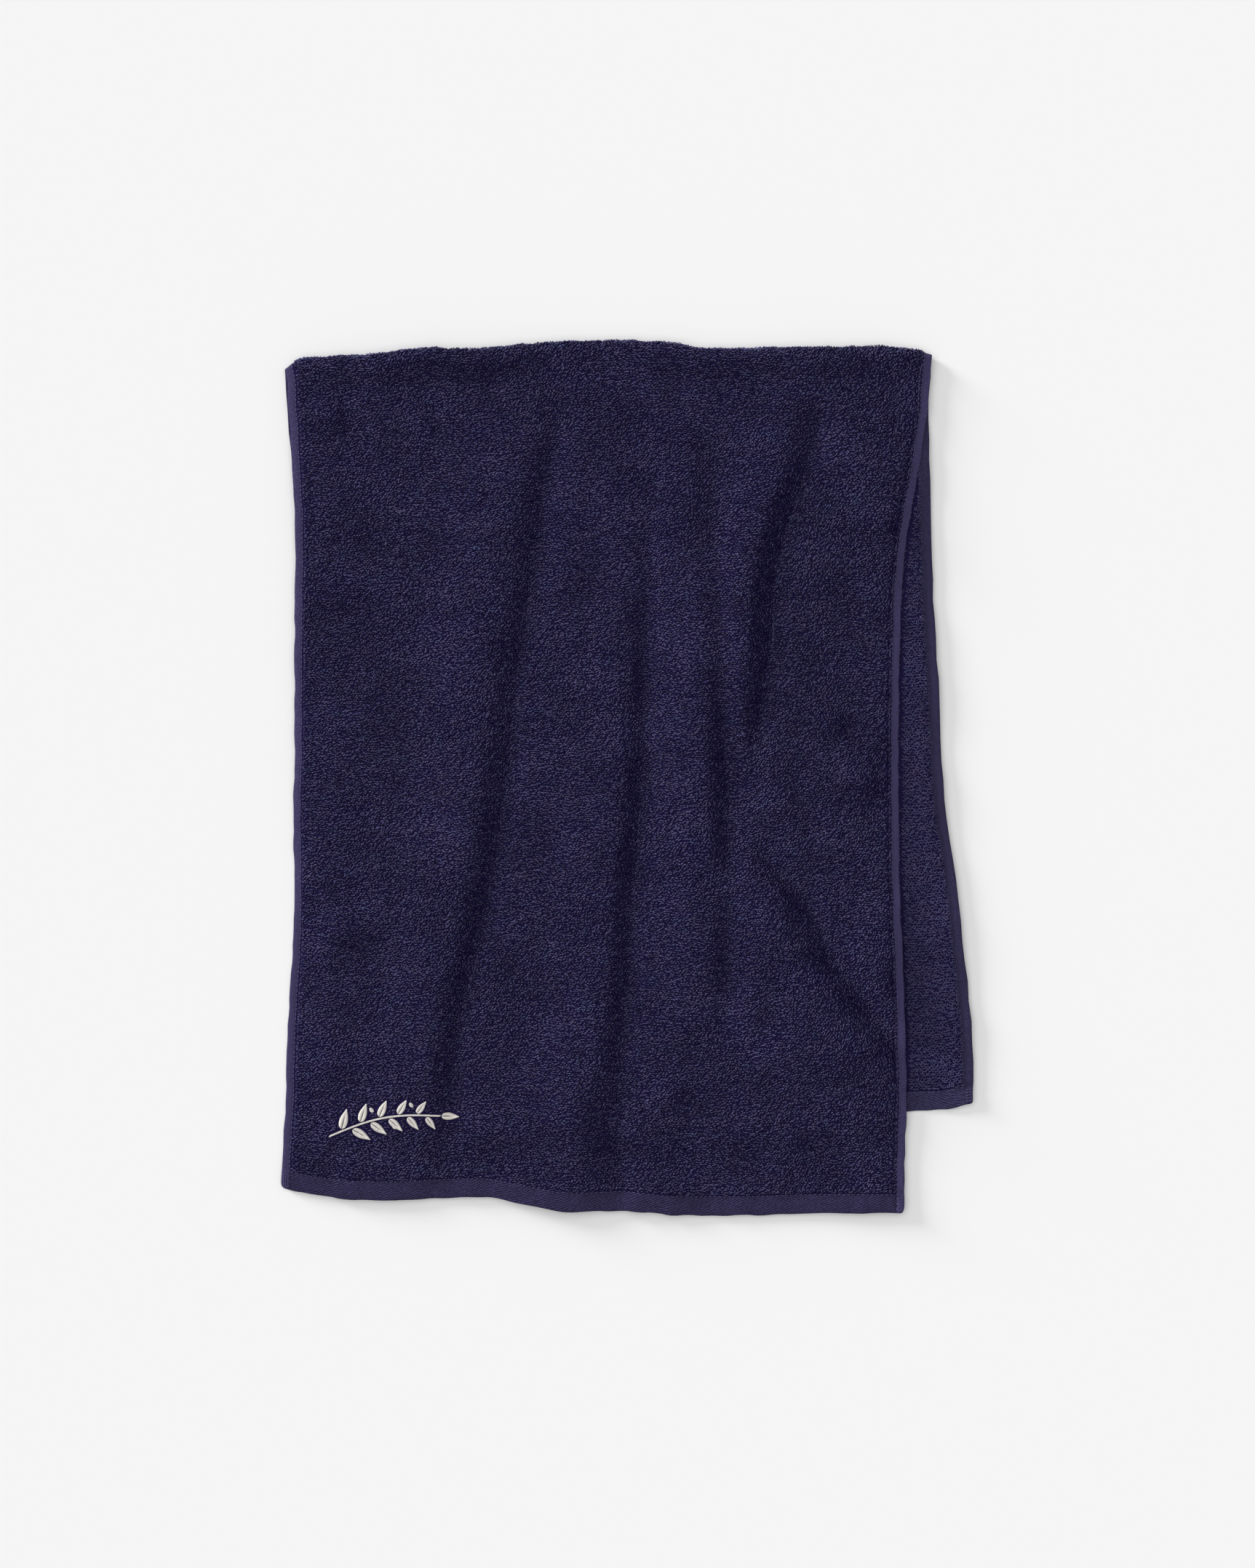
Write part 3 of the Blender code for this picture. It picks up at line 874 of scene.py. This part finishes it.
def front_pile(strip, material, motif):
    """Loops on the front layer and round the fold, in bands of rows, clear of the motif."""
    first = strip.along[strip.front_row - ROLL_STEPS] - WRAP_UNDER
    last = strip.along[-1] - END_HEM + 0.3
    along, across = pile_places(
        first, last, OUTER_SIDE_HEM + 1.1, CLOTH_WIDTH - OUTER_SIDE_HEM - 0.4,
        ROW_PITCH, COLUMN_PITCH, 41)
    point, normal, right, down = at_places(strip, strip.outer, along, across)
    gap = np.full(len(point), np.inf)
    near = (point[:, 0] < -70) & (point[:, 1] < -140)
    for place in motif:
        gap[near] = np.minimum(
            gap[near], np.hypot(point[near, 0] - place[0], point[near, 1] - place[1]))
    tip = point[:, 2] + 1.4 * PILE_HEIGHT * np.minimum(normal[:, 2], 0.0)
    keep = (gap > CLEAR_OF_THREAD) & (tip > LOWEST_TIP)
    point, normal, right, down = point[keep], normal[keep], right[keep], down[keep]
    count = len(point)
    rng = np.random.default_rng(42)
    angle = lie_angle(point[:, 0], point[:, 1], normal[:, 0]) + rng.normal(0, 17, count)
    length = LOOP_LENGTH * rng.uniform(0.75, 1.2, count)
    clump = wavy(point[:, 0], point[:, 1], 7.5, 4.5, 62)
    height = PILE_HEIGHT * rng.uniform(0.7, 1.2, count) * (1 + 0.5 * normal[:, 1].clip(0, 1))
    height *= 1 + CLUMP_HEIGHT * clump
    bend = rng.normal(0.42, 0.28, count)
    run = turned(right, -down, angle)
    spine = arches(LYING_LOOP, point, run, normal, length, height, bend)
    width = LOOP_WIDTH * rng.uniform(0.85, 1.15, count)

    # Painted shade: the pile's colour is darker on the sides of the folds and creases that
    # face away from the low lamp
    away_from_lamp = 0.83 * normal[:, 0] + 0.56 * np.maximum(-normal[:, 1], 0.0)
    tone_and_shade = rng.normal(0, 1, count) - PILE_PAINTED_SHADE * ease(PAINTED_SHADE_FROM, PAINTED_SHADE_FULL, away_from_lamp)
    tone_and_shade += NAP * wavy(point[:, 0], point[:, 1], 52, 34, 61) + CLUMPS * clump
    pieces = []
    for band, picked in enumerate(np.array_split(np.arange(count), PILE_BANDS)):
        pieces.append(yarns(f"pile_front_{band + 1}", spine[picked], normal[picked],
                            width[picked], LOOP_DEPTH, tone_and_shade[picked], material))
    return pieces


def strip_pile(strip, material):
    """Curlier loops on the part of the back layer that shows."""
    first = END_HEM + 0.5
    last = strip.along[strip.front_row - ROLL_STEPS] - 8.0
    along, across = pile_places(
        first, last, CLOTH_WIDTH * 0.84, CLOTH_WIDTH - INNER_SIDE_HEM - 0.6,
        CURL_ROW_PITCH, CURL_PITCH, 51)
    point, normal, right, down = at_places(strip, strip.inner, along, across)
    beside = point[:, 0] - read(SECTIONS, "y", "front_right", point[:, 1])
    keep = in_strip(point[:, 0], point[:, 1], STRIP_MARGIN - MARGIN_EASE) > 0.9
    # Painted shadow: no loops just beside the front layer's edge, so the dark ground shows
    # there as a shadow line
    keep &= np.abs(beside - BARE_BESIDE_EDGE / 2) > BARE_BESIDE_EDGE / 2
    point, normal, right, down = point[keep], -normal[keep], right[keep], down[keep]
    count = len(point)
    rng = np.random.default_rng(52)
    angle = 4 + 18 * wavy(point[:, 0], point[:, 1], 16, 24, 53) + rng.normal(0, 14, count)
    length = CURL_LENGTH * rng.uniform(0.85, 1.15, count)
    height = PILE_HEIGHT * rng.uniform(0.75, 1.1, count)
    bend = rng.normal(-1.0, 0.2, count)
    run = turned(right, down, angle)
    spine = arches(CURLED_LOOP, point, run, normal, length, height, bend)
    width = CURL_WIDTH * rng.uniform(0.85, 1.15, count)
    return yarns("pile_back_strip", spine, normal, width, LOOP_DEPTH,
                 rng.normal(0, 1, count), material)


def seam_stitches(strip, material):
    """Sewing thread in the hems' seams, and the rows of stitches at the corners."""
    fold = strip.along[strip.front_row]
    last = strip.along[-1]
    side = (OUTER_SIDE_HEM - SEAM_WIDTH / 2) * CLOTH_WIDTH / WIDTH_ACROSS
    inner_side = (INNER_SIDE_HEM - SEAM_WIDTH / 2) * CLOTH_WIDTH / WIDTH_ACROSS
    end = END_HEM - SEAM_WIDTH / 2
    spines = []
    normals = []

    def sew(outside, along, across, lengthwise, length=STITCH_LENGTH, rise=STITCH_RISE):
        along, across = np.broadcast_arrays(along, across)
        surface = strip.outer if outside else strip.inner
        point, normal, right, down = at_places(strip, surface, along, across)
        facing = normal if outside else -normal
        run = down if lengthwise else right
        even = np.ones(len(point))
        spines.append(arches(STITCH, point, run, facing, length * even, rise * even, 0 * even))
        normals.append(facing)

    rows = np.arange(fold - 3.0, last - 1.5, STITCH_PITCH)
    for across in (side, CLOTH_WIDTH - side):
        sew(True, rows, across, True)
    columns = np.arange(side + 1.5, CLOTH_WIDTH - side - 1.0, STITCH_PITCH)
    sew(True, last - end, columns, False)
    rows = np.arange(1.5, fold - 14.0, STITCH_PITCH)
    sew(False, rows, CLOTH_WIDTH - inner_side, True)
    columns = np.arange(CLOTH_WIDTH * 0.86, CLOTH_WIDTH - side - 1.0, STITCH_PITCH)
    sew(False, end, columns, False)

    # Stitches run down the left corner and across the two right ones
    down = np.arange(1.9, end - 0.6, TACK_PITCH)
    along, across = (part.ravel() for part in np.meshgrid(down, (1.3, 2.4, 3.5)))
    sew(True, last - along, across, True, TACK_DOWN, TACK_RISE)
    along, across = (part.ravel() for part in np.meshgrid(down, (1.5, 3.3)))
    sew(True, last - along, CLOTH_WIDTH - across, False, TACK_ACROSS, TACK_RISE)
    sew(False, along, CLOTH_WIDTH - across, False, TACK_ACROSS, TACK_RISE)

    spine = np.concatenate(spines)
    count = len(spine)
    rng = np.random.default_rng(71)
    width = THREAD_WIDTH * rng.uniform(0.9, 1.1, count)
    return yarns("seam_stitches", spine, np.concatenate(normals), width, THREAD_DEPTH,
                 rng.normal(0, 1, count), material)


def sprig_lines():
    """Where the sprig's threads start and end, as rows of x0, y0, x1, y1."""
    lines = []

    def stem(t):
        x = SPRIG_SPAN * (t - 0.5)
        y = SPRIG_RISE * (t - 0.5) + SPRIG_BOW * np.sin(np.pi * t)
        return np.array((x, y))

    def heading(t):
        step = stem(t + 0.005) - stem(t - 0.005)
        return np.arctan2(step[1], step[0])

    def ray(angle):
        return np.array((np.cos(angle), np.sin(angle)))

    # The stem is a row of short slanted stitches
    for t in np.arange(0.0, 1.0, SATIN_PITCH / SPRIG_SPAN):
        reach = ray(heading(t) + np.radians(STEM_SLANT)) * STEM_REACH
        lines.append((*(stem(t) - reach), *(stem(t) + reach)))

    # Each leaf has two halves of satin stitches, slanting forward from its midrib
    leaves = []
    for pair in range(LEAF_PAIRS):
        for side in (1, -1):
            t = 0.10 + LEAF_STEP * pair + (0.0 if side > 0 else LEAF_STEP / 2)
            size = 1.0 - 0.07 * pair
            leaves.append((stem(t), heading(t) + side * np.radians(LEAF_ANGLE), size))
    leaves.append((stem(0.99), heading(0.98), 0.85))
    for root, angle, size in leaves:
        forward = ray(angle)
        aside = ray(angle + np.pi / 2)
        length = LEAF_LENGTH * size
        for s in np.arange(0.06, 0.98, SATIN_PITCH / length):
            midrib = root + forward * (s * length + LEAF_STALK)
            ahead = min(s + SATIN_AHEAD, 1.0)
            edge = root + forward * (ahead * length + LEAF_STALK)
            wide = LEAF_WIDTH * size / 2 * np.sin(np.pi * ahead ** 0.85)
            for half in (1, -1):
                rim = edge + aside * (half * (wide + 0.25))
                lines.append((*(midrib - aside * half * 0.12), *rim))

    # Berries stand on the bends between the leaves
    for pair in range(LEAF_PAIRS - 1):
        t = 0.235 + LEAF_STEP * pair
        side = 1 if pair % 2 else -1
        centre = stem(t) + ray(heading(t) + side * np.pi / 2) * BERRY_REACH
        for offset in np.arange(-0.8, 0.81, 0.32):
            chord = np.sqrt(1 - offset ** 2)
            middle = centre + ray(0.6 + np.pi / 2) * offset * BERRY_RADIUS
            reach = ray(0.6) * chord * BERRY_RADIUS
            lines.append((*(middle - reach), *(middle + reach)))
    return np.array(lines) + np.array(SPRIG_CENTRE * 2)


def sprig_embroidery(lines, material):
    """The sprig's threads, each arched between its two ends on the pile."""
    start = lines[:, :2]
    end = lines[:, 2:]
    spine = []
    for share, rise in ((0.0, -0.9), (0.2, 0.15), (0.8, 0.15), (1.0, -0.9)):
        place = start + (end - start) * share
        x = place[:, 0]
        y = place[:, 1]
        height = front_height(x, y, np.full_like(x, 400.0))
        z = height + GROUND_THICKNESS / 2 + PILE_HEIGHT * 0.75 + rise
        spine.append(np.stack((x, y, z), axis=1))
    spine = np.stack(spine, axis=1)
    count = len(spine)
    rng = np.random.default_rng(81)
    upward = np.tile((0.0, 0.0, 1.0), (count, 1))
    width = SATIN_WIDTH * rng.uniform(0.9, 1.1, count)
    return yarns("sprig_embroidery", spine, upward, width, SATIN_DEPTH,
                 rng.normal(0, 1, count), material)


def new_material(name):
    material = bpy.data.materials.new(name)
    material.use_nodes = True
    tree = material.node_tree
    return material, tree, tree.nodes["Principled BSDF"]


def attribute(tree, name):
    node = tree.nodes.new("ShaderNodeAttribute")
    node.attribute_name = name
    return node.outputs["Fac"]


def mixed(tree, factor, low, high):
    """A colour that runs from low to high as factor runs from 0 to 1."""
    mix = tree.nodes.new("ShaderNodeMix")
    mix.data_type = "RGBA"
    for socket, value in (("A_Color", low), ("B_Color", high)):
        place = next(s for s in mix.inputs if s.identifier == socket)
        if isinstance(value, tuple):
            place.default_value = (*value, 1)
        else:
            tree.links.new(value, place)
    tree.links.new(factor, next(s for s in mix.inputs if s.identifier == "Factor_Float"))
    return next(s for s in mix.outputs if s.identifier == "Result_Color")


def shaded(tree, colour, share):
    """The colour made lighter or darker."""
    scale = tree.nodes.new("ShaderNodeVectorMath")
    scale.operation = "SCALE"
    tree.links.new(colour, scale.inputs[0])
    tree.links.new(share, scale.inputs["Scale"])
    return scale.outputs[0]


def reckon(tree, operation, *values):
    """One sum, of numbers or of what other nodes give."""
    node = tree.nodes.new("ShaderNodeMath")
    node.operation = operation
    for socket, value in zip(node.inputs, values):
        if isinstance(value, (int, float)):
            socket.default_value = value
        else:
            tree.links.new(value, socket)
    return node.outputs[0]


def noise(tree, scale, detail):
    """Noise through the cloth itself, with scale lumps in a metre."""
    node = tree.nodes.new("ShaderNodeTexNoise")
    node.inputs["Scale"].default_value = scale
    node.inputs["Detail"].default_value = detail
    place = tree.nodes.new("ShaderNodeTexCoord")
    tree.links.new(place.outputs["Object"], node.inputs["Vector"])
    return node.outputs["Fac"]


def bumped(tree, shader, height, distance, strength):
    bump = tree.nodes.new("ShaderNodeBump")
    bump.inputs["Distance"].default_value = distance
    bump.inputs["Strength"].default_value = strength
    tree.links.new(height, bump.inputs["Height"])
    tree.links.new(bump.outputs["Normal"], shader.inputs["Normal"])


def soft_cotton(shader, sheen):
    """Matt fibres with a little violet sheen."""
    shader.inputs["Roughness"].default_value = 0.95
    shader.inputs["Specular IOR Level"].default_value = 0.04
    shader.inputs["Sheen Weight"].default_value = sheen
    shader.inputs["Sheen Roughness"].default_value = 0.45
    shader.inputs["Sheen Tint"].default_value = (0.62, 0.58, 0.85, 1)


def pile_material():
    """Loops: painted shade at the foot and sides, a painted highlight on top, each with its
    own tone.
    """
    material, tree, shader = new_material("loop_pile")
    worn = noise(tree, 45.0, 3.0)
    bluer = noise(tree, 130.0, 2.0)
    fibres = noise(tree, 1500.0, 3.0)
    # Painted shade and highlight: the colour runs from dark at each loop's foot and sides to
    # pale on its top, shifted by its tone and painted slope shade
    lift = reckon(tree, "MULTIPLY_ADD", attribute(tree, "tone_and_shade"), 0.16,
                  attribute(tree, "painted_shade_rise"))
    grain = reckon(tree, "MULTIPLY_ADD", fibres, 1.7, -0.88)
    factor = reckon(tree, "ADD", lift, grain)
    blue = reckon(tree, "MULTIPLY_ADD", bluer, 3.0, -1.1)
    high = mixed(tree, blue, (0.124, 0.104, 0.222), (0.093, 0.102, 0.222))
    colour = mixed(tree, factor, (0.0052, 0.0022, 0.030), high)
    shade = reckon(tree, "MULTIPLY_ADD", worn, 0.8, 0.54)
    tree.links.new(shaded(tree, colour, shade), shader.inputs["Base Color"])
    soft_cotton(shader, 0.0)
    bumped(tree, shader, fibres, 0.0004, 0.7)
    return material


def ground_material():
    """The weave between the loops: its own dark colour, darkened further with painted shade of
    the deep gaps.
    """
    material, tree, shader = new_material("ground_weave")
    grain = noise(tree, 900.0, 3.0)
    # Partly painted shade: the ground's own colour together with the shade deep between the
    # loops
    colour = mixed(tree, grain, (0.0065, 0.004, 0.029), (0.018, 0.013, 0.056))
    tree.links.new(colour, shader.inputs["Base Color"])
    soft_cotton(shader, 0.0)
    bumped(tree, shader, grain, 0.0005, 0.8)
    return material


def plain_pile_material():
    """Terry seen where no loops are built: the underside and between the layers."""
    material, tree, shader = new_material("plain_pile")
    cells = tree.nodes.new("ShaderNodeTexVoronoi")
    cells.inputs["Scale"].default_value = 620.0
    place = tree.nodes.new("ShaderNodeTexCoord")
    tree.links.new(place.outputs["Object"], cells.inputs["Vector"])
    grain = noise(tree, 1400.0, 3.0)
    height = reckon(tree, "MULTIPLY_ADD", cells.outputs["Distance"], -0.9,
                    reckon(tree, "MULTIPLY_ADD", grain, 0.5, 0.75))
    # Painted shade: the colour is darkest in the gaps between the drawn loops and palest on
    # their tops
    colour = mixed(tree, height, (0.006, 0.004, 0.020), (0.045, 0.037, 0.105))
    tree.links.new(colour, shader.inputs["Base Color"])
    soft_cotton(shader, 0.1)
    bumped(tree, shader, height, 0.0012, 0.9)
    return material


def twill_material(twill):
    """Fine leaning ribs over the flat cloth, which wander and break up."""
    material, tree, shader = new_material(twill.name)
    flat = tree.nodes.new("ShaderNodeUVMap")
    flat.uv_map = "flat"
    split = tree.nodes.new("ShaderNodeSeparateXYZ")
    tree.links.new(flat.outputs["UV"], split.inputs[0])
    wander = noise(tree, 150.0, 2.0)
    ragged = noise(tree, 800.0, 2.0)
    turn = 2 * np.pi / twill.pitch
    lean = np.radians(twill.lean)
    across = reckon(tree, "MULTIPLY", split.outputs[0], float(turn * np.cos(lean)))
    along = reckon(tree, "MULTIPLY", split.outputs[1], float(turn * np.sin(lean)))
    phase = reckon(tree, "ADD", across, along)
    phase = reckon(tree, "MULTIPLY_ADD", wander, 9.0 * twill.broken, phase)
    phase = reckon(tree, "MULTIPLY_ADD", ragged, 5.0 * twill.broken, phase)
    rib = reckon(tree, "SINE", phase)
    rib = reckon(tree, "MULTIPLY_ADD", rib, 0.5, 0.5)
    grain = noise(tree, 1600.0, 3.0)
    height = reckon(tree, "MULTIPLY_ADD", grain, 1.9,
                    reckon(tree, "MULTIPLY_ADD", rib, 0.7, -0.8))
    # Painted shade: the tint is darker in the grooves between the ribs
    painted_groove_shade = tuple(twill.low * part for part in twill.tint)
    tree.links.new(mixed(tree, height, painted_groove_shade, twill.tint), shader.inputs["Base Color"])
    soft_cotton(shader, 0.04)
    bumped(tree, shader, height, 0.0006, 1.0)
    return material


def thread_material(name, low, high, roughness, sheen):
    """Spun thread, with painted shade in its dips and a painted highlight on top."""
    material, tree, shader = new_material(name)
    grain = noise(tree, 2400.0, 2.0)
    # Painted shade and highlight: darker where each stitch dips into the cloth, paler on its
    # top
    factor = reckon(tree, "MULTIPLY_ADD", grain, 0.5,
                    reckon(tree, "MULTIPLY", attribute(tree, "painted_shade_rise"), 0.6))
    tree.links.new(mixed(tree, factor, low, high), shader.inputs["Base Color"])
    soft_cotton(shader, sheen)
    shader.inputs["Roughness"].default_value = roughness
    bumped(tree, shader, grain, 0.0001, 0.4)
    return material


def make_floor():
    """The pale surface that the towel lies on."""
    corners = [(FLOOR_REACH * x, FLOOR_REACH * y, 0)
               for x, y in ((-1, -1), (1, -1), (1, 1), (-1, 1))]
    mesh = bpy.data.meshes.new("floor")
    mesh.from_pydata(corners, [], [(0, 1, 2, 3)])
    material, _, shader = new_material("floor_paint")
    shader.inputs["Base Color"].default_value = (FLOOR_SHADE, FLOOR_SHADE, FLOOR_SHADE, 1)
    shader.inputs["Roughness"].default_value = 1.0
    shader.inputs["Specular IOR Level"].default_value = 0.0
    mesh.materials.append(material)
    floor = bpy.data.objects.new("floor", mesh)
    bpy.context.scene.collection.objects.link(floor)


def make_lights():
    """The soft far lamps and the room's own light."""
    for row in LAMPS:
        lamp = bpy.data.lights.new(row.name, "SUN")
        lamp.energy = row.strength
        lamp.angle = np.radians(row.width)
        sun = bpy.data.objects.new(row.name, lamp)
        sun.rotation_euler = (0, -np.radians(90 - row.elevation), -np.radians(row.bearing))
        bpy.context.scene.collection.objects.link(sun)
    world = bpy.context.scene.world or bpy.data.worlds.new("world")
    bpy.context.scene.world = world
    world.use_nodes = True
    back = world.node_tree.nodes["Background"]
    back.inputs["Color"].default_value = (1, 1, 1, 1)
    back.inputs["Strength"].default_value = ROOM_LIGHT
    bpy.context.scene.view_settings.view_transform = "Standard"


def make_camera():
    lens = bpy.data.cameras.new("camera")
    lens.sensor_fit = "VERTICAL"
    lens.sensor_height = SENSOR
    lens.lens = SENSOR * CAMERA_HEIGHT / VIEW_LENGTH
    camera = bpy.data.objects.new("camera", lens)
    camera.location = (*VIEW_CENTRE, CAMERA_HEIGHT)
    bpy.context.scene.collection.objects.link(camera)
    bpy.context.scene.camera = camera


make_camera()
make_floor()
make_lights()
strip = make_strip()
cloth = make_cloth(
    strip, (ground_material(), plain_pile_material(), *map(twill_material, TWILLS)))
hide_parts(NODE)
pile = pile_material()
lines = sprig_lines()
covered = np.concatenate((lines[:, :2], (lines[:, :2] + lines[:, 2:]) / 2, lines[:, 2:]))
pieces = front_pile(strip, pile, covered)
pieces.append(strip_pile(strip, pile))
pieces.append(seam_stitches(strip, thread_material(
    "sewing_thread", (0.010, 0.007, 0.030), (0.150, 0.130, 0.290), 0.7, 0.05)))
pieces.append(sprig_embroidery(lines, thread_material(
    "sprig_thread", (0.46, 0.42, 0.38), (0.86, 0.83, 0.78), 0.5, 0.2)))
